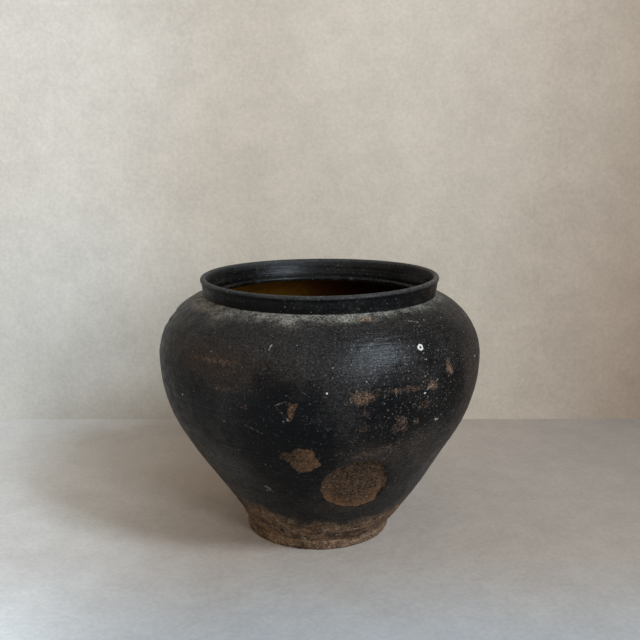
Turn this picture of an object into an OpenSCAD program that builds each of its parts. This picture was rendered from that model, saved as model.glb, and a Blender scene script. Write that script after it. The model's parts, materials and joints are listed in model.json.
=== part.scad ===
// Black clay storage jar: a flat foot, a flaring wall, a high round shoulder
// and a short flared collar with a rounded lip, glazed amber on the inside.
// Its clay members are rings of revolution about Z, stacked on the foot disc
// and luted to each other with slip. They meet face to face.
// Millimetres, +Z up, origin on the axis at the underside of the foot.

/* [Body outline] */
// Radius of the body at its widest
belly_r = 162.5; // [152:0.5:170]
// Height of the widest point above the ground
belly_z = 188; // [180:0.5:205]
// Radius of the shoulder's arc, seen from the side
shoulder_arc_r = 62; // [56:0.2:68]
// Radius of the arc from the widest point down to the lower wall
belly_arc_r = 143.5; // [130:0.5:160]
// Angle below the horizontal at which the lower wall takes over from that arc
wall_turn = 31; // [28:0.5:32]
// Radius of the lower wall's slight outward bow
wall_bow_r = 1430; // [1200:10:2400]

/* [Foot] */
// Height of the foot's upright edge
foot_h = 10.5; // [8:0.5:11]
// Thickness of the floor in the middle
floor_t = 13.5; // [13:0.5:18]
// How much the foot's edge draws in from its top to its bottom
foot_draw = 0.5; // [0:0.1:3]
// Width of the foot's worn and rounded lower edge
foot_edge_w = 1.6; // [1:0.1:5]
// Height of the foot's worn and rounded lower edge
foot_edge_h = 2.2; // [1:0.1:6]

/* [Collar and lip] */
// Radius of the crease between the shoulder and the collar
crease_r = 117.3; // [115:0.1:119]
// Radius of the throat, the narrowest place inside
throat_r = 105; // [102:0.5:107]
// Height of the collar's top above the crease
collar_h = 13; // [8:0.1:20]
// Lean of the collar's outer face from upright
collar_lean = 8; // [4:1:25]
// Width of the ledge at the foot of the collar's inner face
ledge_w = 3; // [1:0.1:5]
// Radius of the round bead that makes the lip
lip_r = 2.9; // [2.7:0.1:4]
// How far the lip stands out past the collar's top edge
lip_proud = 1.1; // [0.4:0.1:2]

/* [Clay and glaze] */
// Thickness of the body's wall
wall_t = 7.5; // [6:0.1:9]
// Thickness of the slip left in each joint
slip_t = 0.8; // [0.4:0.1:1.5]
// How far each joint between courses slopes down towards the inside
scarf_drop = 5; // [0:0.5:8]
// Thickness of the glaze on the inside
glaze_t = 0.6; // [0.3:0.1:1]

/* [Hidden] */
$fn = 96;

SMOKED_CLAY = [0.13, 0.12, 0.115];
BARE_CLAY = [0.42, 0.31, 0.23];
SLIP_CLAY = [0.30, 0.25, 0.21];
AMBER_GLAZE = [0.43, 0.27, 0.07];

course_steps = 16;
edge_steps = 5;
nose_steps = 8;
bead_steps = 18;
throat_nose_r = 2.6;
bead_seat_angle = 32;

function on_circle(centre, r, a) = centre + r * [cos(a), sin(a)];
function arc(centre, r, a0, a1, steps) =
    [for (i = [0:steps]) on_circle(centre, r, a0 + (a1 - a0) * i / steps)];
function reversed(points) = [for (i = [len(points) - 1:-1:0]) points[i]];
function last(points) = points[len(points) - 1];
function degrees_of(length, r) = length / r * 180 / PI;
function unit(v) = v / norm(v);

// The body's outer face is three arcs that run into each other without a break:
// 0 the lower wall, 1 the belly, 2 the shoulder. Each arc is one course of clay.
// Angles are from the horizontal, upwards positive.
belly_centre = [belly_r - belly_arc_r, belly_z];
shoulder_centre = [belly_r - shoulder_arc_r, belly_z];
wall_centre = on_circle(belly_centre, belly_arc_r - wall_bow_r, -wall_turn);
crease_angle = acos((crease_r - shoulder_centre[0]) / shoulder_arc_r);
CENTRE = [wall_centre, belly_centre, shoulder_centre];
RADIUS = [wall_bow_r, belly_arc_r, shoulder_arc_r];
TOP_ANGLE = [-wall_turn, 0, crease_angle];

// Where the lower wall is at height z, at a depth below its outer face
function wall_angle(z, depth) = asin((z - wall_centre[1]) / (wall_bow_r - depth));
function wall_point(z, depth) =
    on_circle(wall_centre, wall_bow_r - depth, wall_angle(z, depth));

// A joint between courses sits where two arcs meet on the outside, slopes down
// with depth, and leaves half the slip on each side of it.
function joint_angle(k, side, depth) =
    degrees_of(side * slip_t / 2 - scarf_drop * depth / wall_t, RADIUS[k]);
function start_angle(k, depth) =
    k > 0 ? TOP_ANGLE[k - 1] + joint_angle(k, 1, depth)
          : wall_angle(depth == 0 ? foot_h + slip_t : floor_t + depth - wall_t, depth);
function end_angle(k, depth) =
    k < 2 ? TOP_ANGLE[k] + joint_angle(k, -1, depth)
          : depth == 0 ? crease_angle
                       : acos((throat_r + throat_nose_r - shoulder_centre[0])
                              / (shoulder_arc_r - depth));

// A course's face at a depth below its outer face, from bottom to top
function face(k, depth) =
    arc(CENTRE[k], RADIUS[k] - depth, start_angle(k, depth), end_angle(k, depth), course_steps);

// Corners of the foot disc, and of the lower wall where it sits on it
foot_top = wall_point(foot_h, 0);
foot_r = foot_top[0] - foot_draw;
wall_seat_in = wall_point(foot_h + slip_t, wall_t);
floor_corner = wall_point(floor_t, wall_t);
plug_low = wall_point(foot_h, wall_t) - [slip_t, 0];
plug_high = floor_corner - [slip_t, 0];

// The shoulder's rounded nose at the throat, from its underside to its top, and
// the ledge that runs outwards from there to the collar
nose = arc(last(face(2, wall_t)) + [0, throat_nose_r], throat_nose_r, 270, 90, nose_steps);
ledge_end = last(nose) + [ledge_w, 0];

// The collar, with the bead of the lip on top of it. The bead stands out past
// the collar's outer face, and the inner face runs up into the bead at a tangent.
crease = last(face(2, 0));
collar_foot_out = crease + [0, slip_t];
collar_foot_in = ledge_end + [0, slip_t];
collar_top_out = crease + [collar_h * tan(collar_lean), collar_h];
bead_centre = collar_top_out + [lip_proud - lip_r, slip_t + lip_r * sin(bead_seat_angle)];
inner_foot = collar_foot_in - bead_centre;
bead_end = 360 + atan2(inner_foot[1], inner_foot[0]) - acos(lip_r / norm(inner_foot));
bead = arc(bead_centre, lip_r, -bead_seat_angle, bead_end, bead_steps);
collar_top_in = last(bead) + slip_t * unit(collar_foot_in - last(bead));

module ring(points) rotate_extrude() polygon(points);

// The slip between a course and the next one up
module course_seam(k)
    color(SLIP_CLAY) ring([last(face(k, 0)), face(k + 1, 0)[0],
                           face(k + 1, wall_t)[0], last(face(k, wall_t))]);

// Round slab with a raised middle that the lower wall's foot goes round
module base_disc()
    color(BARE_CLAY) ring(concat(
        [[0, 0]],
        [for (i = [0:edge_steps]) let (a = 90 * i / edge_steps)
            [foot_r - foot_edge_w * (1 - sin(a)), foot_edge_h * (1 - cos(a))]],
        [foot_top, plug_low, plug_high, [0, floor_t]]));

module foot_seam()
    color(SLIP_CLAY) ring([foot_top, face(0, 0)[0], wall_seat_in, floor_corner,
                           plug_high, plug_low]);

module lower_wall()
    color(SMOKED_CLAY) ring(concat(face(0, 0), reversed(face(0, wall_t)), [wall_seat_in]));

module wall_seam() course_seam(0);

module belly_course()
    color(SMOKED_CLAY) ring(concat(face(1, 0), reversed(face(1, wall_t))));

module belly_seam() course_seam(1);

module shoulder_course()
    color(SMOKED_CLAY) ring(concat(face(2, 0), [ledge_end], reversed(nose),
                                  reversed(face(2, wall_t))));

module collar_seam()
    color(SLIP_CLAY) ring([ledge_end, crease, collar_foot_out, collar_foot_in]);

module collar()
    color(SMOKED_CLAY) ring([collar_foot_in, collar_foot_out, collar_top_out, collar_top_in]);

module lip_seam()
    color(SLIP_CLAY) ring([collar_top_in, collar_top_out, bead[0], last(bead)]);

module lip_bead()
    color(SMOKED_CLAY) ring(bead);

// One coat of glaze over the floor and up the inside to the throat
module glaze_lining()
    color(AMBER_GLAZE) ring(concat(
        [[0, floor_t]],
        [for (k = [0:2]) each face(k, wall_t)],
        [for (k = [2:-1:0]) each reversed(face(k, wall_t + glaze_t))],
        [[0, floor_t + glaze_t]]));

base_disc();
foot_seam();
lower_wall();
wall_seam();
belly_course();
belly_seam();
shoulder_course();
collar_seam();
collar();
lip_seam();
lip_bead();
glaze_lining();
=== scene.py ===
"""The looks of a black clay jar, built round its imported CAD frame. Metres, +Z up.

Each clay member of the frame is replaced by a closed mesh of the same section. The members' exposed
faces are read from the frame as one continuous skin, which runs from the middle of the underside, up
the outside, over the lip and down the glazed inside. All relief is worked into that one skin, so the
members still meet face to face. Azimuths here are in degrees from the front, positive to the right.
"""
import json
import math

import bmesh
import bpy
import numpy as np
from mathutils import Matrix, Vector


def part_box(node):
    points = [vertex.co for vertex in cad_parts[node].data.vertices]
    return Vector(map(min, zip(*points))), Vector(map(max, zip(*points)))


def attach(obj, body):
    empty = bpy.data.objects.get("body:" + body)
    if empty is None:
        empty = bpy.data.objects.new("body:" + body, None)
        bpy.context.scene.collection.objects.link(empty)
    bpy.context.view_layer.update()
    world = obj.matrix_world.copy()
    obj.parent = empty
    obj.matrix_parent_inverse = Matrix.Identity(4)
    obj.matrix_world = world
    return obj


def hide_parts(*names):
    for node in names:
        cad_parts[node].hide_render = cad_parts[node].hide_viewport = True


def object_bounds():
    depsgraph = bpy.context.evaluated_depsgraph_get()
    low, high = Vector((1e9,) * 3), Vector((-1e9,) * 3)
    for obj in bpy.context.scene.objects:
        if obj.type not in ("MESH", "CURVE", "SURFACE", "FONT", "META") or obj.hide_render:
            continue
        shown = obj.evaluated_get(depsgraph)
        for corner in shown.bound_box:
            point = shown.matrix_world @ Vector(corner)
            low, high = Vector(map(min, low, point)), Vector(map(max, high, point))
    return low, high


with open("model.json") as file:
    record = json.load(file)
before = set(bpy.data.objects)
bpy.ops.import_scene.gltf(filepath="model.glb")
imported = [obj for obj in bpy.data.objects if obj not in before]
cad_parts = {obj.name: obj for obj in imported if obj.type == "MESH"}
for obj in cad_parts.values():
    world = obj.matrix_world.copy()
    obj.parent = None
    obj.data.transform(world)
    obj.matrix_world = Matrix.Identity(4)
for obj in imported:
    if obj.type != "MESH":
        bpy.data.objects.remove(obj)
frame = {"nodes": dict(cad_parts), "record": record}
cad_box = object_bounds()

MM = 0.001

# Points closer than this are one point, and a turn sharper than this is a corner
SAME = 0.01 * MM
CORNER = math.radians(25)

# Columns of points round the pot
COLUMNS = 640

# Share by which the columns stand closer together at the front, and further apart at the back
FRONT_FINE = 0.3

# How far below the throat the rim's closer rows start
RIM_BELOW_THROAT = 4 * MM

# Share of a row by which a stretch may be longer than its rows
ROW_SLACK = 0.2

# Distance between rows along the skin
OUTSIDE_ROW = 1.0 * MM
RIM_ROW = 0.5 * MM
INSIDE_ROW = 4.0 * MM
UNDERSIDE_ROW = 4.0 * MM

# Places from the frame
ground = cad_box[0].z
top = cad_box[1].z
belly_r = cad_box[1].x
crease_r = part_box("collar_seam")[1].x
throat_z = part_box("glaze_lining")[1].z

SLOTS = {part["node"]: part["material_slot"] for part in frame["record"]["subparts"]}


# ---- The section, read from the frame

def outline(node):
    """A node's section as (radius, height) points in order. One that reaches the axis starts and
    ends there. Any other is a closed loop."""
    bm = bmesh.new()
    bm.from_mesh(frame["nodes"][node].data)
    for v in bm.verts:
        v.co = (math.hypot(v.co.x, v.co.y), 0, v.co.z)
    bmesh.ops.remove_doubles(bm, verts=bm.verts, dist=SAME)
    ends = [v for v in bm.verts if len(v.link_edges) == 1]
    first = min(ends or bm.verts, key=lambda v: v.co.z)
    points, before, at = [], None, first
    while at is not None:
        points.append((at.co.x, at.co.z))
        ahead = [e.other_vert(at) for e in at.link_edges if e.other_vert(at) is not before]
        before, at = at, ahead[0] if ahead and ahead[0] is not first else None
    bm.free()
    return [(0, points[0][1]), *points, (0, points[-1][1])] if ends else points


def welded(outlines):
    """All outlines' points as one list, and each outline as a list of places in that list."""
    points, loops = [], {}
    for node, line in outlines.items():
        loops[node] = []
        for p in line:
            found = [i for i, q in enumerate(points) if math.dist(p, q) < SAME]
            if not found:
                points.append(p)
            loops[node].append(found[0] if found else len(points) - 1)
        if line[0][0] > 0:
            loops[node].append(loops[node][0])
    return points, loops


def exposed_path(points, loops):
    """The exposed line from the middle of the underside to the middle of the inside, as places in
    points, and the node that owns each stretch of it. A stretch that two nodes share is a joint."""
    owners = {}
    for node, loop in loops.items():
        for pair in zip(loop, loop[1:]):
            owners.setdefault(frozenset(pair), []).append(node)
    free = {pair: nodes[0] for pair, nodes in owners.items() if len(nodes) == 1}
    at = min((i for i, p in enumerate(points) if p[0] == 0), key=lambda i: points[i][1])
    path, owner = [at], []
    while len(path) < 2 or points[at][0] > 0:
        pair = next(pair for pair in free if at in pair)
        owner.append(free.pop(pair))
        at = next(i for i in pair if i != at)
        path.append(at)
    return path, owner


def unit(v):
    return v / np.maximum(np.linalg.norm(v, axis=-1, keepdims=True), 1e-12)


def row_pitch(node, a, b):
    """How far apart the rows stand between two points of a node's outline."""
    if node == "glaze_lining":
        return INSIDE_ROW
    if max(a[1], b[1]) < ground + SAME:
        return UNDERSIDE_ROW
    on_rim = a[1] > throat_z - RIM_BELOW_THROAT and min(a[0], b[0]) < crease_r + SAME
    return RIM_ROW if on_rim else OUTSIDE_ROW


def curve(a, b, start, end, length, steps):
    """Points after a, up to b, on a curve that leaves a along start and meets b along end."""
    t = np.arange(1, steps + 1)[:, None] / steps
    return ((2 * t**3 - 3 * t**2 + 1) * a + (3 * t**2 - 2 * t**3) * b
            + (t**3 - 2 * t**2 + t) * length * start
            + (t**3 - t**2) * length * end)


class Skin:
    """The exposed line as rows, each with its radius r and height z, its distance s along the line,
    its outward direction and its node. rows_of gives the rows of each stretch of the frame's
    outline, row_at the row of each of its points, and corners the rows at its corners."""

    def __init__(self, points, path, owner):
        line = np.array([points[i] for i in path])
        step = np.diff(line, axis=0)
        length = np.linalg.norm(step, axis=1)
        way = step / length[:, None]
        start, end = way.copy(), way.copy()
        for i in range(1, len(step)):
            if way[i - 1] @ way[i] > math.cos(CORNER):
                start[i] = end[i - 1] = unit(way[i - 1] * length[i] + way[i] * length[i - 1])
        rows, nodes, self.rows_of, self.row_at = [line[:1]], owner[:1], {}, {path[0]: 0}
        for i, node in enumerate(owner):
            n = max(1, math.ceil(length[i] / row_pitch(node, line[i], line[i + 1]) - ROW_SLACK))
            rows.append(curve(line[i], line[i + 1], start[i], end[i], length[i], n))
            self.rows_of[path[i], path[i + 1]] = range(len(nodes) - 1, len(nodes) + n)
            nodes += [node] * n
            self.row_at[path[i + 1]] = len(nodes) - 1
        self.r, self.z = np.concatenate(rows).T
        self.node = np.array(nodes)
        step = np.diff(np.stack([self.r, self.z], axis=1), axis=0)
        self.s = np.concatenate([[0], np.cumsum(np.linalg.norm(step, axis=1))])
        way = unit(step)
        through = unit(np.concatenate([way[:1], way[:-1] + way[1:], way[-1:]]))
        self.out = np.stack([through[:, 1], -through[:, 0]], axis=1)
        self.corners = 1 + np.flatnonzero((way[:-1] * way[1:]).sum(axis=1) < math.cos(CORNER))


points, loops = welded({node: outline(node) for node in frame["nodes"]})
skin = Skin(points, *exposed_path(points, loops))
turn = np.arange(COLUMNS) * 2 * math.pi / COLUMNS
theta = turn - FRONT_FINE * np.sin(turn) - math.pi / 2


# ---- Noise and shapes on the skin

# How far the lower wall stands to the right, and the foot spreads to the left, in mm
LEAN = 2.4
SPREAD = 3.2

# How many bumps there are before the noise repeats, and how many sizes of bump are layered
NOISE_CELLS = 24
NOISE_LAYERS = 3


def smooth(x, a, b):
    """0 at a, 1 at b, and smooth between them."""
    t = np.clip((x - a) / (b - a), 0, 1)
    return t * t * (3 - 2 * t)


def noise(x, y, z, size, seed):
    """Smooth noise from -1 to 1 whose bumps are about size across."""
    values = np.random.default_rng(seed).uniform(-1, 1, (NOISE_CELLS,) * 3)
    cell = [np.floor(c / size).astype(int) for c in (x, y, z)]
    part = [smooth(c / size - k, 0, 1) for c, k in zip((x, y, z), cell)]
    total = 0
    for corner in np.ndindex(2, 2, 2):
        weight = np.prod([p if up else 1 - p for up, p in zip(corner, part)], axis=0)
        total = total + weight * values[tuple((k + up) % NOISE_CELLS for k, up in zip(cell, corner))]
    return total


def layered(x, y, z, size, seed):
    return sum(noise(x, y, z, size / 2**i, seed + i) / 2**i for i in range(NOISE_LAYERS))


def placed(r, z):
    """Points at each column from their radius and height, with the pot's slight unevenness: it isn't
    quite round, its lower wall leans, its foot spreads, and its rim rises and falls."""
    up = (z - ground) / MM
    swell = 0.35 * np.cos(2 * theta + 0.7) + 0.25 * np.cos(3 * theta - 1.1)
    lift = 0.5 * np.cos(theta) + 0.6 * np.cos(2 * theta) + 0.8 * np.cos(theta - 0.9) - 0.2
    left = ((1 - np.cos(theta)) / 2) ** 2
    r = r + MM * swell * smooth(up, 0, 60) * r / belly_r + MM * SPREAD * left * smooth(up, 44, 10)
    z = z + MM * lift * smooth((top - z) / MM, 26, 0)
    lean = MM * LEAN * smooth(up, 100, 45) * smooth(up, 4, 24)
    return np.stack([r * np.cos(theta) + lean, r * np.sin(theta), z + 0 * r], axis=-1)


# The skin's points before relief, as rows by columns
R, S = np.broadcast_arrays(skin.r[:, None], skin.s[:, None] + 0 * theta)
Z = skin.z[:, None] + 0 * theta
X, Y = R * np.cos(theta), R * np.sin(theta)
AZIMUTH = np.degrees(np.arctan2(X, -Y))

# The rows at the widest point, at the crease, at the top of the foot's upright edge, where the foot
# leaves the ground, at the lip's lower outer edge and at the throat, and the parts that they bound
belly_row = int(np.argmax(skin.r))
crease_row = int(np.argmax(skin.node == "collar_seam")) - 1
foot_row = int(np.argmax(skin.node == "foot_seam")) - 1
edge_row = int(np.argmax(skin.z > ground + SAME))
lip_row = int(np.argmax(skin.node == "lip_bead"))
throat_row = int(np.argmax(skin.node == "glaze_lining")) - 1
row_number = np.arange(len(skin.r))[:, None] + 0 * theta
ON_BODY = (row_number > foot_row) & (row_number <= crease_row)
ON_FOOT = row_number <= foot_row
BELOW_COLLAR = ON_BODY | ON_FOOT
ON_GLAZE = row_number > throat_row
ON_COLLAR = (row_number > crease_row) & ~ON_GLAZE

# Noise with bumps of about 60, 25, 9, 4.5 and 2.4 mm
N60, N25, N9, N4, N2 = (layered(X, Y, Z, size * MM, seed) for seed, size in
                        ((1, 60), (10, 25), (20, 9), (30, 4.5), (40, 2.4)))


def row_near(height):
    return int(np.argmin(np.abs(skin.z[:crease_row] - ground - height * MM)))


def around(azimuth, height, wide=1, tall=1, tilt=0):
    """How far each point is across and up from a place on the outside, in units of wide and tall
    mm. A tilt turns both directions anticlockwise by so many degrees."""
    row = row_near(height)
    across = np.radians((AZIMUTH - azimuth + 180) % 360 - 180) * skin.r[row] / MM
    up = (S - skin.s[row]) / MM
    cos, sin = math.cos(math.radians(tilt)), math.sin(math.radians(tilt))
    return (across * cos + up * sin) / wide, (up * cos - across * sin) / tall


def oval(place, ragged, soft, taper=0):
    """1 inside an oval with a ragged edge and 0 outside it. A taper makes its left end narrower."""
    u, v = around(*place)
    reach = np.hypot(u, v * (1 - taper * np.clip(u, -1, 1))) + ragged * (0.7 * N9 + 0.5 * N4)
    return BELOW_COLLAR * smooth(reach, 1 + soft, 1 - soft)


def stroke(start, end, half_width):
    """1 along a thin mark between two places, each an azimuth and a height, and 0 away from it."""
    (turn0, up0), (turn1, up1) = start, end
    x, y = around(turn0, up0)
    row = row_near(up0)
    dx = math.radians(turn1 - turn0) * skin.r[row] / MM
    dy = (skin.s[row_near(up1)] - skin.s[row]) / MM
    along = np.clip((x * dx + y * dy) / (dx * dx + dy * dy), 0, 1)
    off = np.hypot(x - along * dx, y - along * dy) + 0.3 * N4
    return BELOW_COLLAR * smooth(off, half_width * 1.5, half_width * 0.5)


# ---- Relief, wear, and painted shade and sheen

# Places are azimuth, height, half width and half height in mm, and tilt
BIG_SPALL = (14.7, 87, 32, 34, 22)
BIG_SPALL_TAPER = 0.22
SMALL_SPALL = ((-5.4, 120, 15, 14.5, -18), (-11.2, 124.5, 8.5, 6, -10))
CHIP = (-9.6, 169.5, 10.5, 11, 0)
# Where the smoked surface is rubbed through to reddish clay, and how strongly
WORN = (
    ((13.7, 183, 13, 7, 5), 0.75),
    ((27, 187, 20, 3, -3), 0.55),
    ((27.5, 152, 9, 9, 20), 0.52),
    ((33, 154, 4, 4, 0), 0.5),
    ((14, 153, 8, 6, 0), 0.38),
    ((20, 128, 26, 6, 8), 0.4),
    ((14, 168, 7, 5, 0), 0.45),
    ((47, 198, 5, 9, 10), 0.7),
    ((38.5, 186, 7, 4, -30), 0.75),
    ((17.4, 244, 9, 3.5, 0), 0.9),
    ((-58, 243, 26, 6, 0), 0.7),
    ((36, 168, 16, 8, 0), 0.4),
    ((36, 128, 10, 14, 0), 0.4),
    ((45, 104, 12, 16, 0), 0.35),
    ((-36, 209, 32, 2.4, 2), 0.5),
    ((-28, 186, 26, 3, 0), 0.45),
    ((-24, 172, 12, 5, 0), 0.35),
)
# Where the surface is browner
WARM = ((-40, 205, 75, 17, 0), (64, 150, 20, 60, 0), (22, 128, 40, 18, 0),
        (10, 62, 30, 10, 0), (150, 190, 90, 40, 0), (-120, 120, 60, 30, 0))
# Thin pale marks, each from one place to another, with its half width in mm and its strength
SCRATCHES = (
    ((-24.4, 154), (-18.7, 148), 0.7, 0.6),
    ((-17.8, 176), (-17, 158), 0.5, 0.35),
    ((-16.8, 222), (-16, 226), 0.9, 0.9),
    ((-15.4, 229), (-14.6, 235), 0.5, 0.4),
    ((-13.5, 176), (-9.6, 161.5), 0.6, 0.8),
    ((-13.5, 176), (-10.4, 180), 0.5, 0.7),
    ((-10.4, 180), (-6.4, 178.5), 0.5, 0.5),
    ((-40, 209), (-33, 207), 0.6, 0.45),
    ((-34, 208), (-26, 206), 0.7, 0.4),
    ((-22, 176), (-19, 173), 0.7, 0.4),
    ((36, 183), (41, 190), 0.8, 0.6),
    ((35, 241), (41, 238), 0.9, 0.6),
    ((-24.0, 83), (-22.8, 80.5), 3.0, 0.55),
    ((-25.0, 78), (-21.6, 77), 1.2, 0.6),
    ((-27, 186), (-22, 185), 0.6, 0.4),
    ((42, 151), (43.4, 150), 1.3, 0.95),
)
# Where more sand shows in the surface
GRITTY = ((33, 170, 75, 75, 0), (-150, 140, 60, 70, 0), (110, 190, 50, 40, 0))
# Where the surface is darkest: partly the darkest smoking, and partly painted shade on the lower front
# wall, which faces down, on the left flank and in the big flake's upper right
DARKEST_AND_SHADED = ((-12, 125, 52, 62, 0), (-56, 172, 50, 28, 0), (170, 110, 80, 50, 0), (50, 172, 22, 34, 0),
        (22, 100, 17, 18, 0), (25, 155, 40, 26, 0))
# Where a painted grey sheen stands for the floor's reflection on the lower flanks
PAINTED_SHEEN_PLACES = ((-41, 98, 26, 22, 0), (-48, 60, 20, 16, 0), (56, 78, 14, 30, 0))
# Where the surface was rubbed smoothest
POLISHED = (24, 208, 66, 48, 0)
# Azimuths that the front view doesn't reach, and how many marks are made up there
UNSEEN = (75, 285)
UNSEEN_SPALLS = 6
UNSEEN_WORN = 22
UNSEEN_SCRATCHES = 14
# The ring round a popped grain of lime, and other bare grains of lime, each an azimuth and a height
LIME_RING = (35.6, 220, 2.8, 2.8, 0)
LIME_SPOTS = ((2.3, 188.8), (35.3, 180), (67.4, 196.1), (-52, 168), (110, 205), (160, 150), (-130, 190))
PITS_AND_GRAINS = 3600
# Height in mm of the smoked skin's lower edge, and where it climbs: azimuth, half width and rise
SKIN_EDGE = 37
EDGE_CLIMBS = ((-40, 16, 15), (58, 14, 9))
# Ridges of clay smeared round the foot, and chips out of it
FOOT_RIDGES = ((35, 32, 17, 1.8, 14), (52, 38, 10, 1.5, 8), (20, 24, 9, 1.2, 4))
FOOT_CHIPS = ((-29, 20, 3.2, 2.2, 0), (24, 26, 3, 1.5, 10), (38, 12, 3, 2, 0), (58, 18, 4, 3, 0))
# Distances in mm along the skin from the lip's lower outer edge: to its groove, to its middle, and
# to just past its end
LIP_GROOVE = 4.2
LIP_MIDDLE = 6
LIP_END = 12
# Relief settles to nothing over this distance from each corner of the rim. Those corners are less
# than this far below the throat.
SETTLE = 1.5 * MM
SETTLE_BELOW_THROAT = 12 * MM


def beyond(seed, count, sizes, heights, strengths):
    """Places like those at the front, for the sides and the back, with a strength."""
    rng = np.random.default_rng(seed)
    for _ in range(count):
        size = rng.uniform(*sizes)
        yield ((rng.uniform(*UNSEEN), rng.uniform(*heights), size * rng.uniform(1.0, 2.4), size,
                rng.uniform(-20, 20)), rng.uniform(*strengths))


def beyond_scratches(seed, count):
    rng = np.random.default_rng(seed)
    for _ in range(count):
        turn0, up0 = rng.uniform(*UNSEEN), rng.uniform(70, 240)
        end = (turn0 + rng.uniform(-5, 5), up0 + rng.uniform(-9, 9))
        yield (turn0, up0), end, rng.uniform(0.5, 0.9), rng.uniform(0.3, 0.7)


def most(masks):
    return np.max(list(masks), axis=0)


def lumps_and_rings():
    """Lumps from the hands, the fine rings left by the wheel, and the clay's own grain, in mm."""
    rings = noise(X, Y, S * 30, 42 * MM, 50) + 0.6 * noise(X, Y, S * 16, 60 * MM, 51)
    depth = BELOW_COLLAR * (0.24 * N25 + 0.09 * N9 + 0.05 * N4 + 0.04 * N2)
    depth += ON_COLLAR * (0.05 * N25 + 0.02 * N9)
    return depth + rings * np.where(ON_COLLAR, 0.05, 0.15 * ON_BODY) * (0.75 + 0.5 * N60)


def big_spall():
    """A wide flake, with painted shadow along its right edge and painted shade over its upper right. It
    gives how deep it is, in mm, where it is, where its shade is painted, and where the raw clay is
    fresh and pale."""
    u, v = around(*BIG_SPALL)
    flake = oval(BIG_SPALL, 0.06, 0.05, BIG_SPALL_TAPER)
    depth = flake * (0.9 + 0.7 * np.clip(u, -1, 1) + 0.3 * N9 + 0.2 * N4 + 0.2 * N2)
    reach = np.hypot(u, v * (1 - BIG_SPALL_TAPER * u)) + 0.05 * N4
    # Painted shadow along the flake's right edge, and painted shade darkening its upper right
    edge = smooth(np.abs(reach - 0.97), 0.045, 0.01) * smooth(u, 0.3, 0.9) * (0.6 + 0.6 * N9)
    dark = np.maximum(edge, flake * smooth(u * 0.5 + v, -0.6, 1.2) * (0.5 + 0.2 * N4))
    return depth, flake, dark, smooth(reach, 0.5, 1.0) * smooth(u * 0.5 + v, 0.5, -0.6)


def small_spall():
    """A smaller flake that gets shallower and darker to the left. It gives how deep it is, in mm, where
    it is, where it is darker, and where the raw clay is fresh and pale.
    """
    u, v = around(*SMALL_SPALL[0])
    flake = most(oval(place, 0.3, 0.22) for place in SMALL_SPALL)
    flake = flake * (0.70 + 0.30 * smooth(u + 0.5 * v + 0.6 * N4, -1.5, -0.3))
    dark = flake * smooth(u + 0.3 * N4, 0.4, -1.6) * 0.75
    fresh = smooth(np.hypot(u, v), 1.6, 1.4) * (0.35 + 0.4 * np.clip(u, -1, 1))
    return flake * (0.5 + 0.2 * N4), flake, dark, fresh


def chip():
    """A three-cornered chip that is raw on its right. It gives how deep it is, in mm, where it is,
    and where it is raw."""
    u, v = around(*CHIP)
    corner = np.maximum(np.abs(u) - (v + 1) / 2 + 1, v + 0.12 * u) + 0.1 * N9 + 0.08 * N4
    chipped = BELOW_COLLAR * smooth(corner, 1.1, 0.94)
    return chipped * (1.0 + 0.35 * u), chipped, chipped * smooth(u + 0.3 * N4, -0.5, 0.3)


def spalls():
    """Where flakes have come off: how deep, in mm, where, where they are darker, as painted shade in
    the big flake and darker clay in the small one, and where the raw clay is fresh and pale."""
    big_depth, big, big_painted_shade, big_fresh = big_spall()
    small_depth, small, small_dark, small_fresh = small_spall()
    chip_depth, chipped, chip_raw = chip()
    depth = big_depth + small_depth + chip_depth
    raw = [big, small, chip_raw]
    for place, strength in beyond(60, UNSEEN_SPALLS, sizes=(5, 12), heights=(45, 225),
                                  strengths=(0.5, 1.0)):
        flake = oval(place, 0.4, 0.1, 0.2)
        depth += flake * strength
        raw.append(flake)
    # Painted shade in the big flake, and the small flake's darker left
    dark = BELOW_COLLAR * np.maximum(big_painted_shade, small_dark)
    return depth, most(raw), dark, np.maximum(big_fresh + small_fresh, 0.1 * chipped)


def lime_marks():
    """A ring popped out by a grain of lime, and bare grains of lime."""
    reach = np.hypot(*around(*LIME_RING))
    depth = 0.4 * smooth(np.abs(reach - 0.75), 0.5, 0) - 0.5 * smooth(reach, 0.5, 0.1)
    mask = smooth(np.abs(reach - 0.78), 0.45, 0.18)
    for azimuth, height in LIME_SPOTS:
        mask = np.maximum(mask, 0.9 * smooth(np.hypot(*around(azimuth, height, 1.2, 1.2)), 1.2, 0.5))
    return ON_BODY * depth, ON_BODY * mask


def foot_wear(masks):
    """Bare clay round the foot, under the ragged lower edge of the smoked skin, and the foot's
    worn and broken edge, in mm."""
    edge = SKIN_EDGE + 4 * N25 + 2 * N9
    for azimuth, wide, rise in EDGE_CLIMBS:
        edge = edge + rise * np.exp(-((AZIMUTH - azimuth) / wide) ** 2)
    low = smooth((Z - ground) / MM, edge + 17, edge - 15) * (row_number <= belly_row)
    masks["bare"] = low
    depth = -low * (0.12 - 0.10 * N4)
    for place in FOOT_RIDGES:
        depth += ON_BODY * 0.8 * smooth(np.hypot(*around(*place)) + 0.25 * N9, 1.2, 0.4)
    chips = most(oval(place, 0.4, 0.3) for place in FOOT_CHIPS)
    masks["dark"] = np.maximum(masks["dark"], chips)
    depth -= 1.1 * chips
    rim = smooth(np.abs(S - skin.s[edge_row]) / MM, 6, 0) * ON_FOOT
    depth -= rim * (0.2 + 0.9 * np.clip(N9 - 0.1, 0, 1))
    return depth + ON_FOOT * (0.15 * N4 + 0.06 * N2)


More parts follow.
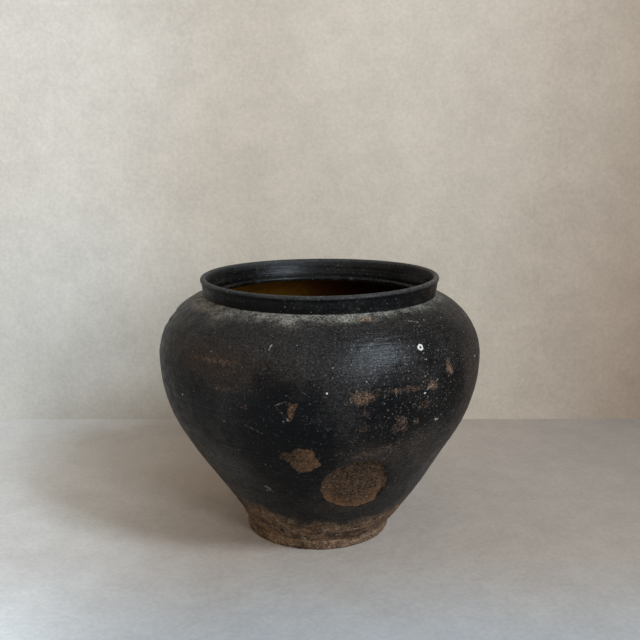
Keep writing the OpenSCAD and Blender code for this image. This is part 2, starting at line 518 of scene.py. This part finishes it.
def crease_dust():
    """Dust in the crease, thickest on the left, and a thin veil of it down the shoulder."""
    from_crease = (skin.s[crease_row] - S) / MM
    left = np.exp(-((AZIMUTH + 30) / 36) ** 2)
    line = smooth(from_crease, 19 + 18 * left + 8 * N25, 0) * (0.60 + 0.28 * left + 0.20 * N25)
    veil = smooth(from_crease, 46 + 14 * N60, 4) * 0.22
    return BELOW_COLLAR * np.maximum(line, veil)


def rim_wear_shade_and_sheen(masks):
    """The rubbed lip with a painted grey highlight along it, the dusty collar with painted shade on its
    outer face under the lip and a darker inner face, and the fine groove round the lip, in mm.
    """
    lip_s = (S - skin.s[lip_row]) / MM
    lip = ON_COLLAR * smooth(np.abs(lip_s - LIP_MIDDLE), 6, 2)
    masks["worn"] = np.maximum(masks["worn"], lip * (0.1 + 0.35 * np.sin(np.radians(AZIMUTH))))
    # A painted grey highlight along the rolled lip
    masks["painted_sheen"] = np.maximum(masks["painted_sheen"], lip)
    outer = ON_COLLAR * smooth(lip_s, 1.5, 0)
    # Painted shade on the collar's outer face, where the lip shades it
    masks["deep"] = np.maximum(masks["deep"], outer)
    masks["dust"] = np.maximum(crease_dust(), outer * (0.11 + 0.11 * N25 + 0.06 * N9))
    inner = ON_COLLAR * smooth(lip_s, LIP_END, LIP_END + 4)
    masks["deep"] = np.maximum(masks["deep"], 0.6 * inner)
    masks["polish"] = np.maximum(masks["polish"], inner)
    low = smooth((S - skin.s[throat_row]) / MM, -11, -6) * ON_COLLAR
    masks["dust"] = np.maximum(masks["dust"], low * (0.12 + 0.22 * N9))
    groove = smooth(np.abs(lip_s - LIP_GROOVE), 0.8, 0)
    return -0.3 * ON_COLLAR * groove * (0.6 + 0.4 * np.sin(np.radians(AZIMUTH)))


def clay_relief():
    """How far the clay stands out, in mm, and the masks of its wear, of painted shade and of painted
    sheen.
    """
    depth = lumps_and_rings()
    holes, raw, dark_and_shade, fresh = spalls()
    lime, lime_mask = lime_marks()
    worn = (*WORN, *beyond(61, UNSEEN_WORN, sizes=(4, 18), heights=(60, 240), strengths=(0.25, 0.6)))
    marks = (*SCRATCHES, *beyond_scratches(62, UNSEEN_SCRATCHES))
    masks = {
        "spall": raw,
        "dark": dark_and_shade,
        # Darker parts of the flakes: painted shade in the big flake, darker clay in the small one
        "fresh": fresh,
        "lime": lime_mask,
        "worn": most(strength * oval(place, 0.6, 0.7) for place, strength in worn),
        "warm": most(oval(place, 0.3, 0.8) for place in WARM),
        "pale": most(strength * stroke(start, end, half) for start, end, half, strength in marks),
        "grit": 0.52 + 0.48 * most(oval(place, 0.2, 0.9) for place in GRITTY),
        "deep": most(oval(place, 0.3, 0.7) for place in DARKEST_AND_SHADED),
        "painted_sheen": most(oval(place, 0.3, 0.8) for place in PAINTED_SHEEN_PLACES),
        "polish": oval(POLISHED, 0.3, 0.8),
    }
    depth = depth - holes + lime - 0.15 * masks["pale"]
    depth = depth + foot_wear(masks) + rim_wear_shade_and_sheen(masks)
    return depth, masks


def grains(depth):
    """Sand grains that stand out, and pits where grains have fallen out."""
    rng = np.random.default_rng(70)
    count = PITS_AND_GRAINS
    rows = rng.integers(edge_row + 8, crease_row - 4, count)
    keep = rng.uniform(0, 1, count) < skin.r[rows] / belly_r
    places = zip(rows[keep], rng.integers(0, COLUMNS, count)[keep],
                 rng.uniform(0.8, 1.9, count)[keep], rng.uniform(-0.35, 0.2, count)[keep])
    for row, col, size, lift in places:
        near = np.arange(row - 3, row + 4)
        span = np.arange(col - 2, col + 3) % COLUMNS
        up = (skin.s[near] - skin.s[row]) / MM
        apart = (theta[span] - theta[col] + math.pi) % (2 * math.pi) - math.pi
        spot = smooth(np.hypot(up[:, None], apart[None] * skin.r[row] / MM) / size, 1, 0)
        depth[np.ix_(near, span)] += lift * spot


def glaze_relief():
    """Throwing rings under the glaze, runs in it, and a thicker coat on the floor, in mm."""
    rings = noise(X, Y, S * 9, 70 * MM, 80)
    runs = noise(X * 5, Y * 5, Z, 60 * MM, 81)
    return ON_GLAZE * (0.35 * rings + 0.12 * runs * smooth(R, 40 * MM, 90 * MM) + 0.1 * N25)


def settled(depth):
    """Relief fades to nothing at the sharp corners, where two faces' directions differ, and on the
    axis, so that the skin stays whole."""
    gap = np.min([np.abs(skin.s - skin.s[c]) for c in skin.corners], axis=0)
    settles = (gap < SETTLE) & (skin.z > throat_z - SETTLE_BELOW_THROAT)
    return depth * np.where(settles, gap / SETTLE, 1)[:, None] * smooth(R, 0, 8 * MM)


def worked_skin():
    """The skin's points with relief, as rows by columns by 3, and the masks."""
    depth, masks = clay_relief()
    grains(depth)
    depth = settled(np.where(ON_GLAZE, glaze_relief(), depth)) * MM
    z = np.maximum(Z + depth * skin.out[:, 1:], ground)
    return placed(R + depth * skin.out[:, :1], z), masks


def skin_normals(first, last):
    """Shading normals of rows first to last. They look past the ends of the stretch where the
    skin runs on smoothly, so that no line shows where two members meet."""
    low = first if first in skin.corners or first == 0 else first - 1
    high = last if last in skin.corners or last == len(grid) - 1 else last + 1
    rows = np.arange(first, last + 1)
    below, above = grid[np.maximum(rows - 1, low)], grid[np.minimum(rows + 1, high)]
    round_it = np.roll(grid[rows], -1, 1) - np.roll(grid[rows], 1, 1)
    return unit(np.cross(round_it, above - below))


# ---- Meshes

grid, masks = worked_skin()


def hidden_row(i):
    """A joint face's ring of points, at a corner of the section."""
    return placed(*np.broadcast_arrays(points[i][0], points[i][1], theta)[:2])


def ring_of_rows(node):
    """A node's rows in order round its section, anticlockwise. Each is a skin row's number, or for
    a corner of a joint face that isn't on the skin, "joint" and its place in points."""
    loop = loops[node]
    area = sum(points[a][0] * points[b][1] - points[b][0] * points[a][1]
               for a, b in zip(loop, loop[1:]))
    if area < 0:
        loop = loop[::-1]
    rows = []
    for a, b in zip(loop, loop[1:]):
        rows += list(skin.rows_of.get((a, b), [skin.row_at.get(a, ("joint", a)), None]))[:-1]
    if points[loop[0]][0] == 0:
        rows.append(skin.row_at.get(loop[-1], ("joint", loop[-1])))
    return rows


def stretches(rows):
    """The first and the last of each run of skin rows that follow each other."""
    numbers = sorted(r for r in rows if isinstance(r, int))
    runs = [[numbers[0]]]
    for n in numbers[1:]:
        if n == runs[-1][-1] + 1:
            runs[-1].append(n)
        else:
            runs.append([n])
    return [(run[0], run[-1]) for run in runs]


def row_values(rows):
    """Points, shading normals and masks of rows. Joint faces have no masks and face up."""
    normal_of = {}
    for first, last in stretches(rows):
        for n, row in zip(range(first, last + 1), skin_normals(first, last)):
            normal_of[n] = row
    upward = np.zeros((COLUMNS, 3))
    upward[:, 2] = 1
    none = np.zeros(COLUMNS)
    co = np.array([grid[r] if isinstance(r, int) else hidden_row(r[1]) for r in rows])
    normals = np.array([normal_of[r] if isinstance(r, int) else upward for r in rows])
    wear = {name: np.array([mask[r] if isinstance(r, int) else none for r in rows])
            for name, mask in masks.items()}
    return co, normals, wear


def faces_through(place, open_ended):
    """Faces between rows of vertex numbers. An open-ended run is closed by its points on the axis,
    and any other run closes on itself."""
    low = np.arange(len(place) - 1) if open_ended else np.arange(len(place))
    a, b = place[low], place[(low + 1) % len(place)]
    quads = np.stack([a, np.roll(a, -1, 1), np.roll(b, -1, 1), b], axis=-1).reshape(-1, 4)
    fan_low, fan_high = quads[:, 0] == quads[:, 1], quads[:, 2] == quads[:, 3]
    return [quads[~fan_low & ~fan_high], quads[fan_low][:, [0, 2, 3]], quads[fan_high][:, :3]]


def mesh_of(name, co, faces):
    mesh = bpy.data.meshes.new(name)
    mesh.vertices.add(len(co))
    mesh.vertices.foreach_set("co", co.astype(np.float32).ravel())
    corners = np.concatenate([f.ravel() for f in faces])
    sizes = np.concatenate([np.full(len(f), f.shape[1]) for f in faces])
    mesh.loops.add(len(corners))
    mesh.loops.foreach_set("vertex_index", corners.astype(np.int32))
    mesh.polygons.add(len(sizes))
    mesh.polygons.foreach_set("loop_start", (np.cumsum(sizes) - sizes).astype(np.int32))
    mesh.update(calc_edges=True)
    mesh.shade_smooth()
    return mesh


def closed_mesh(name, rows):
    """A closed mesh of revolution through rows, with the skin's masks and shading normals. A row on
    the axis is a single point."""
    co, normals, wear = row_values(rows)
    last = len(rows) - 1
    on_axis = [i for i in (0, last) if np.hypot(co[i, 0, 0], co[i, 0, 1]) < SAME]
    keep = np.ones(co.shape[:2], bool)
    for i in on_axis:
        keep[i, 1:] = False
        normals[i] = (0, 0, -1 if i == 0 and name == "base_disc" else 1)
    place = np.cumsum(keep.ravel()).reshape(keep.shape) - 1
    for i in on_axis:
        place[i] = place[i, 0]
    mesh = mesh_of(name, co[keep], faces_through(place, bool(on_axis)))
    for mask, values in wear.items():
        layer = mesh.attributes.new(mask, "FLOAT", "POINT")
        layer.data.foreach_set("value", values[keep].astype(np.float32))
    mesh.normals_split_custom_set_from_vertices(normals[keep])
    return mesh


# ---- Materials

class Nodes:
    """A material's node tree, built from sockets and numbers."""

    def __init__(self, name):
        self.material = bpy.data.materials.new(name)
        self.material.use_nodes = True
        self.tree = self.material.node_tree
        self.shader = self.tree.nodes["Principled BSDF"]
        self.place = self.add("ShaderNodeTexCoord", out="Object")

    def put(self, socket, value):
        if isinstance(value, bpy.types.NodeSocket):
            self.tree.links.new(value, socket)
        else:
            socket.default_value = value

    def add(self, kind, inputs=(), out=0, **settings):
        node = self.tree.nodes.new(kind)
        for setting, value in settings.items():
            setattr(node, setting, value)
        for socket, value in dict(inputs).items():
            self.put(node.inputs[socket], value)
        return node.outputs[out]

    def noise(self, size, detail=3, rough=0.55, place=None):
        """Noise whose bumps are about size across, in metres."""
        return self.add("ShaderNodeTexNoise", {"Vector": place or self.place, "Scale": 1 / size,
                                               "Detail": detail, "Roughness": rough})

    def stretched(self, x, y, z):
        return self.add("ShaderNodeMapping", {"Vector": self.place, "Scale": (x, y, z)})

    def between(self, value, a, b, low=0.0, high=1.0):
        """Maps a to low and b to high, smoothly, and holds the ends."""
        return self.add("ShaderNodeMapRange", {"Value": value, "From Min": a, "From Max": b,
                                               "To Min": low, "To Max": high},
                        interpolation_type="SMOOTHSTEP")

    def math(self, how, a, b, c=0.0):
        return self.add("ShaderNodeMath", {0: a, 1: b, 2: c}, operation=how)

    def parts(self, kind, value):
        """The three parts of a colour or of a place."""
        return self.add("ShaderNodeSeparate" + kind, {0: value}).node.outputs

    def mask(self, name):
        return self.add("ShaderNodeAttribute", out="Fac", attribute_name=name)

    def mix(self, share, a, b, how="MIX"):
        """Two colours mixed. The Mix node's inputs 6 and 7 and its output 2 are its colour ones."""
        return self.add("ShaderNodeMix", {0: share, 6: a, 7: b}, 2, data_type="RGBA", blend_type=how)

    def bump(self, height, distance, strength):
        return self.add("ShaderNodeBump", {"Height": height, "Distance": distance,
                                           "Strength": strength})

    def finish(self, **inputs):
        """Sets the shader's inputs, named with _ for each space, and gives the material."""
        for name, value in inputs.items():
            self.put(self.shader.inputs[name.replace("_", " ")], value)
        return self.material


def rgb(r, g, b):
    return (r, g, b, 1.0)


# The smoked skin, from its darkest to its most worn, the grey of a painted sheen, and what lies on it
SOOT = rgb(0.0020, 0.0020, 0.0022)
BROWN_BLACK = rgb(0.0135, 0.0120, 0.0113)
WARM_BROWN = rgb(0.0215, 0.0150, 0.0115)
RED_BROWN = rgb(0.075, 0.045, 0.029)
# The grey of a painted sheen: reflected light on the lower flanks and a highlight along the lip
PAINTED_SHEEN_GREY = rgb(0.036, 0.037, 0.036)
DUST = rgb(0.20, 0.18, 0.15)
ABRADED = rgb(0.33, 0.200, 0.125)
SAND = rgb(0.37, 0.31, 0.26)
LIME = rgb(0.62, 0.57, 0.50)
# The bare clay round the foot, and the raw clay in the spalls
CLAY = rgb(0.190, 0.115, 0.068)
CLAY_DARK = rgb(0.075, 0.045, 0.027)
CLAY_PALE = rgb(0.33, 0.24, 0.165)
SPALL_CLAY = rgb(0.122, 0.068, 0.038)
SPALL_DARK = rgb(0.016, 0.012, 0.009)
RUST = rgb(0.225, 0.107, 0.050)

# The glaze where it is thin and where it has pooled, then painted shade: darker red further right, and
# black at its right side
AMBER = rgb(0.30, 0.145, 0.013)
AMBER_POOLED = rgb(0.10, 0.042, 0.004)
AMBER_PAINTED_HALF_SHADE = rgb(0.060, 0.017, 0.003)
AMBER_PAINTED_SHADE = rgb(0.010, 0.006, 0.005)
IRON = rgb(0.012, 0.005, 0.002)

# How the smoked skin reflects light: how strongly, and how roughly where it is least and most
# rough. Where it was rubbed smoothest, its roughness is multiplied by POLISH.
CLAY_SPECULAR = 0.5
CLAY_IOR = 1.22
LEAST_ROUGH = 0.38
MOST_ROUGH = 0.54
POLISH = 0.56


def speckled(m, mask, low, high, coarse, fine, spread):
    """A mask broken up by coarse and fine noise, so that it shows as specks that thin out at its edge.
    It shows from low on, and fully at high. A larger spread makes the fine specks stand out more."""
    cloud = m.math("SUBTRACT", m.noise(coarse, 3, 0.6), 0.5)
    speck = m.math("SUBTRACT", m.noise(fine, 2, 0.7), 0.5)
    uneven = m.math("MULTIPLY_ADD", cloud, 2.2, m.math("MULTIPLY_ADD", speck, spread, 1.0))
    return m.between(m.math("MULTIPLY", m.mask(mask), uneven), low, high)


def specks(m, size, share, radius):
    """Round specks, in a share of the cells of that size. Their radius is a share of a cell. It
    gives how strongly each shows."""
    cells = {"Vector": m.place, "Scale": 1 / size}
    distance = m.add("ShaderNodeTexVoronoi", cells, "Distance")
    draws = m.parts("Color", m.add("ShaderNodeTexVoronoi", cells, "Color"))
    chosen = m.between(m.math("ADD", draws[0], share), 1.0, 1.03)
    reach = m.math("MULTIPLY_ADD", draws[1], radius, 0.4 * radius)
    inside = m.between(m.math("DIVIDE", distance, reach), 1.0, 0.55)
    strength = m.between(draws[2], 0.0, 1.0, 0.15, 1.0)
    return m.math("MULTIPLY", m.math("MULTIPLY", chosen, inside), strength)


def smoked_skin(m, streaks):
    """The smoked surface: black, browner in clouds and streaks, darker where it was smoked darkest and
    where shade is painted, with a painted grey sheen, and with sand, wear and dust on it.
    """
    tone = m.math("ADD", m.noise(0.06, 5, 0.62), m.math("MULTIPLY", streaks, 0.35))
    # Darker where the deep mask is: the darkest smoking, and painted shade on the lower front wall, the
    # left flank, the big flake's upper right and the collar's outer face
    tone = m.math("SUBTRACT", tone, m.math("MULTIPLY", m.mask("deep"), 0.34))
    colour = m.mix(m.between(tone, 0.38, 0.80), SOOT, BROWN_BLACK)
    colour = m.mix(m.math("MULTIPLY", m.mask("warm"), m.between(tone, 0.3, 0.8)), colour, WARM_BROWN)
    # A painted grey sheen: the floor's reflection on the lower flanks, and a highlight along the lip
    colour = m.mix(m.math("MULTIPLY", m.mask("painted_sheen"), 0.55), colour, PAINTED_SHEEN_GREY)
    colour = m.mix(speckled(m, "worn", 0.25, 0.95, 0.007, 0.0016, 4.5), colour, RED_BROWN)
    colour = m.mix(speckled(m, "worn", 1.00, 2.60, 0.006, 0.0013, 6.5), colour, ABRADED)
    colour = m.mix(speckled(m, "dust", 0.12, 1.50, 0.010, 0.0016, 2.6), colour, DUST)
    grain = m.between(m.noise(0.0018, 3, 0.85), 0.28, 0.72, 0.1, 2.6)
    colour = m.mix(1.0, colour, grain, "MULTIPLY")
    grit = m.mask("grit")
    fine = specks(m, 0.0020, m.math("MULTIPLY", grit, 0.85), 0.30)
    middling = specks(m, 0.0036, m.math("MULTIPLY", grit, 0.55), 0.19)
    bold = specks(m, 0.0060, m.math("MULTIPLY", grit, 0.45), 0.12)
    colour = m.mix(m.math("MULTIPLY", m.math("MULTIPLY", fine, 0.34), grit), colour, SAND)
    colour = m.mix(m.math("MULTIPLY", m.math("MULTIPLY", middling, 0.42), grit), colour, SAND)
    return m.mix(m.math("MULTIPLY", bold, 0.7), colour, SAND)


def bare_skin(m):
    """The unsmoked clay round the foot, faintly streaked round the pot and cracked."""
    streak = m.math("MULTIPLY_ADD", m.noise(1, 4, 0.6, m.stretched(26, 26, 170)), 0.5,
                    m.math("MULTIPLY", m.noise(0.016, 5, 0.65), 0.5))
    colour = m.mix(m.between(streak, 0.38, 0.60), CLAY_DARK, CLAY)
    colour = m.mix(m.between(m.noise(0.009, 4, 0.7), 0.50, 0.80, 0.0, 0.8), colour, CLAY_PALE)
    crack = m.noise(1, 3, 0.6, m.stretched(110, 110, 520))
    colour = m.mix(m.between(crack, 0.34, 0.26, 0.0, 0.7), colour, SPALL_DARK)
    grain = m.between(m.noise(0.0022, 3, 0.8), 0.28, 0.72, 0.35, 1.85)
    return m.mix(1.0, colour, grain, "MULTIPLY")


def spalled_clay(m):
    """The coarse dark brown body of the clay, full of sand."""
    colour = m.mix(m.between(m.noise(0.0022, 3, 0.8), 0.40, 0.61), SPALL_DARK, SPALL_CLAY)
    cloud = m.math("MULTIPLY_ADD", m.noise(0.006, 4, 0.75), 1.6, -0.35)
    colour = m.mix(m.math("MULTIPLY", m.between(cloud, 0, 1), m.mask("fresh")), colour, RUST)
    return m.mix(m.math("MULTIPLY", specks(m, 0.0022, 0.5, 0.25), 0.7), colour, CLAY_PALE)


def clay(name):
    """Smoked clay, with raw clay where the smoked skin is gone. The slip in the joints is smoked
    with the clay round it, and the foot's clay is bare, so one set of masks serves all three."""
    m = Nodes(name)
    streaks = m.noise(1, 4, 0.65, m.stretched(16, 16, 560))
    colour = smoked_skin(m, streaks)
    pale = speckled(m, "pale", 0.35, 1.10, 0.004, 0.0012, 2.2)
    colour = m.mix(pale, colour, SAND)
    bare = speckled(m, "bare", 0.20, 1.20, 0.012, 0.0018, 2.2)
    colour = m.mix(bare, colour, bare_skin(m))
    spall = m.between(m.math("ADD", m.mask("spall"),
                             m.math("MULTIPLY", m.noise(0.002, 2, 0.6), 0.4)), 0.55, 0.85)
    colour = m.mix(spall, colour, spalled_clay(m))
    # Soot where the dark mask is: painted shade in the big flake, and darker clay in the small flake
    # and the foot's chips
    colour = m.mix(m.between(m.mask("dark"), 0.2, 0.9, 0.0, 0.85), colour, SOOT)
    colour = m.mix(m.between(m.mask("lime"), 0.25, 0.75), colour, LIME)
    rough = m.between(m.noise(0.009, 4), 0.3, 0.7, LEAST_ROUGH, MOST_ROUGH)
    raw = m.math("MAXIMUM", m.math("MAXIMUM", bare, spall), pale)
    rough = m.math("MULTIPLY", rough, m.between(m.mask("polish"), 0, 1, 1.0, POLISH))
    rough = m.math("MAXIMUM", rough, m.math("MULTIPLY", raw, 0.92))
    rough = m.math("MAXIMUM", rough, m.math("MULTIPLY", m.mask("dust"), 0.9))
    fine = m.math("ADD", m.noise(0.0012, 3, 0.65), m.math("MULTIPLY", streaks, 3.2))
    bump = m.bump(fine, 0.3 * MM, m.between(raw, 0, 1, 0.48, 0.9))
    return m.finish(Base_Color=colour, Roughness=rough, Normal=bump,
                    Specular_IOR_Level=CLAY_SPECULAR, IOR=CLAY_IOR)


def amber_glaze():
    """Amber glaze that pools darker, with runs and iron specks. Painted shade turns it darker red and
    then black towards the right.
    """
    m = Nodes("amber_glaze")
    runs = m.noise(1, 4, 0.55, m.stretched(60, 60, 9))
    east = m.parts("XYZ", m.place)[0]
    depth = m.math("ADD", m.noise(0.05, 4), m.math("MULTIPLY", runs, 0.6))
    colour = m.mix(m.between(depth, 0.6, 1.0), AMBER, AMBER_POOLED)
    # Painted shade: darker red and then black towards the right side of the inside
    across = m.math("MULTIPLY_ADD", m.noise(0.05, 4, 0.6), 120 * MM, east)
    colour = m.mix(m.between(across, -110 * MM, 90 * MM), colour, AMBER_PAINTED_HALF_SHADE)
    colour = m.mix(m.between(across, 50 * MM, 165 * MM), colour, AMBER_PAINTED_SHADE)
    colour = m.mix(m.math("MULTIPLY", specks(m, 0.006, 0.35, 0.3), 0.8), colour, IRON)
    wave = m.bump(m.noise(0.008, 2), 0.3 * MM, 0.3)
    return m.finish(Base_Color=colour, Roughness=m.between(runs, 0.3, 0.7, 0.12, 0.26), Normal=wave,
                    Coat_Weight=0.5, Coat_Roughness=0.08)


MATERIALS = {"amber_glaze": amber_glaze(),
             **{name: clay(name) for name in ("smoked_clay", "slip_clay", "bare_clay")}}


# ---- Pieces

def piece(node):
    made = bpy.data.objects.new("clay_" + node, closed_mesh(node, ring_of_rows(node)))
    bpy.context.scene.collection.objects.link(made)
    made.data.materials.append(MATERIALS[SLOTS[node]])
    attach(made, "root")
    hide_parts(node)


for node in frame["nodes"]:
    piece(node)


# ---- Stage, light and camera

def sheet(name, corners, material):
    mesh = bpy.data.meshes.new(name)
    mesh.from_pydata(corners, [], [(0, 1, 2, 3)])
    made = bpy.data.objects.new(name, mesh)
    bpy.context.scene.collection.objects.link(made)
    mesh.materials.append(material)


# How far the wall stands behind the pot's axis, and how far the floor and the wall reach
WALL_BEHIND = 0.341
STAGE_REACH = 3.0


def plaster(name, size, tones, other, axis, a, b):
    """Mottled plaster with painted light and shade: a tone on the left, in the middle and on the right.
    They give way to three other tones from a to b along an axis, 1 for the one that runs back and 2 for
    up."""
    m = Nodes(name)
    places = m.parts("XYZ", m.place)
    wander = m.math("MULTIPLY_ADD", m.noise(0.15, 6, 0.6), 0.10, -0.05)
    east = m.math("ADD", places[0], wander)
    here = []
    for left, middle, right in (tones, other):
        colour = m.mix(m.between(east, -0.38, -0.08), left, middle)
        here.append(m.mix(m.between(east, 0.06, 0.68), colour, right))
    colour = m.mix(m.between(m.math("ADD", places[axis], wander), a, b), *here)
    mottle = m.between(m.noise(size, 8, 0.8), 0.3, 0.7, 0.93, 1.06)
    colour = m.mix(1.0, colour, mottle, "MULTIPLY")
    grain = m.between(m.noise(0.005, 4, 0.7), 0.3, 0.7, 0.94, 1.05)
    colour = m.mix(1.0, colour, grain, "MULTIPLY")
    bump = m.bump(m.noise(0.012, 6, 0.65), 1.5 * MM, 0.4)
    return m.finish(Base_Color=colour, Roughness=0.9, Normal=bump, Specular_IOR_Level=0.2)


def see_through_from_behind(material):
    """Lets a view from behind the wall see the pot."""
    tree = material.node_tree
    facing = tree.nodes.new("ShaderNodeNewGeometry").outputs["Backfacing"]
    choice = tree.nodes.new("ShaderNodeMixShader")
    tree.links.new(facing, choice.inputs[0])
    tree.links.new(tree.nodes["Principled BSDF"].outputs[0], choice.inputs[1])
    tree.links.new(tree.nodes.new("ShaderNodeBsdfTransparent").outputs[0], choice.inputs[2])
    tree.links.new(choice.outputs[0], tree.nodes["Material Output"].inputs[0])


# Painted light and shade as tones on the left, in the middle and on the right: a painted pool of window
# light on the front floor's left, a warm painted shade by the pot in the middle of the back floor, and
# painted shade darkening the floor and wall to the right and the wall lower down
FLOOR_BACK_PAINTED_LIGHT = (rgb(0.68, 0.66, 0.64), rgb(0.41, 0.340, 0.285), rgb(0.240, 0.208, 0.178))
FLOOR_FRONT_PAINTED_LIGHT = (rgb(0.95, 0.98, 1.00), rgb(0.395, 0.410, 0.425), rgb(0.280, 0.252, 0.228))
WALL_HIGH_PAINTED_LIGHT = (rgb(0.760, 0.69, 0.605), rgb(0.590, 0.495, 0.405), rgb(0.235, 0.160, 0.100))
WALL_LOW_PAINTED_LIGHT = (rgb(0.680, 0.645, 0.590), rgb(0.550, 0.470, 0.375), rgb(0.215, 0.127, 0.080))

floor = plaster("pale_floor", 0.05, FLOOR_BACK_PAINTED_LIGHT, FLOOR_FRONT_PAINTED_LIGHT, 1, -0.05, -0.30)
wall = plaster("pale_wall", 0.06, WALL_HIGH_PAINTED_LIGHT, WALL_LOW_PAINTED_LIGHT, 2, 0.42, 0.10)
see_through_from_behind(wall)

WEST, EAST = -STAGE_REACH, STAGE_REACH
sheet("floor", [(WEST, WEST, ground), (EAST, WEST, ground), (EAST, EAST, ground), (WEST, EAST, ground)],
      floor)
sheet("wall", [(WEST, WALL_BEHIND, ground), (EAST, WALL_BEHIND, ground),
               (EAST, WALL_BEHIND, ground + STAGE_REACH), (WEST, WALL_BEHIND, ground + STAGE_REACH)],
      wall)


def soft_light(name, azimuth, elevation, distance, wide, tall, watts, colour):
    """A soft light that faces the pot from that direction."""
    data = bpy.data.lights.new(name, "AREA")
    data.shape, data.size, data.size_y = "RECTANGLE", wide, tall
    data.energy, data.color = watts, colour
    lamp = bpy.data.objects.new(name, data)
    bpy.context.scene.collection.objects.link(lamp)
    a, e = math.radians(azimuth), math.radians(elevation)
    way = np.array([math.sin(a) * math.cos(e), -math.cos(a) * math.cos(e), math.sin(e)])
    lamp.location = way * distance + np.array([0, 0, ground + (top - ground) / 2])
    lamp.rotation_euler = (math.pi / 2 - e, 0, a)


soft_light("window", azimuth=48, elevation=41, distance=2.2, wide=0.42, tall=0.55, watts=39,
           colour=(0.71, 0.86, 1.0))
soft_light("doorway", azimuth=31, elevation=20, distance=2.4, wide=0.4, tall=0.6, watts=20,
           colour=(0.80, 0.90, 1.0))
soft_light("room", azimuth=-40, elevation=50, distance=3.5, wide=4.4, tall=3.4, watts=30,
           colour=(1.0, 0.93, 0.83))

# The light that comes from the rest of the room
ROOM_COLOUR = rgb(0.80, 0.74, 0.65)
ROOM_STRENGTH = 0.30

world = bpy.data.worlds.new("room")
bpy.context.scene.world = world
world.use_nodes = True
background = world.node_tree.nodes["Background"]
background.inputs["Color"].default_value = ROOM_COLOUR
background.inputs["Strength"].default_value = ROOM_STRENGTH

# Metres, degrees below the horizontal, and millimetres
CAMERA_PLACE = (0.0006, -0.883, 0.4029)
CAMERA_TILT = 11.8
LENS = 49.5

camera = bpy.data.objects.new("camera", bpy.data.cameras.new("camera"))
bpy.context.scene.collection.objects.link(camera)
camera.location = CAMERA_PLACE
camera.rotation_euler = (math.radians(90 - CAMERA_TILT), 0, 0)
camera.data.lens = LENS
bpy.context.scene.camera = camera
bpy.context.scene.view_settings.view_transform = "Standard"
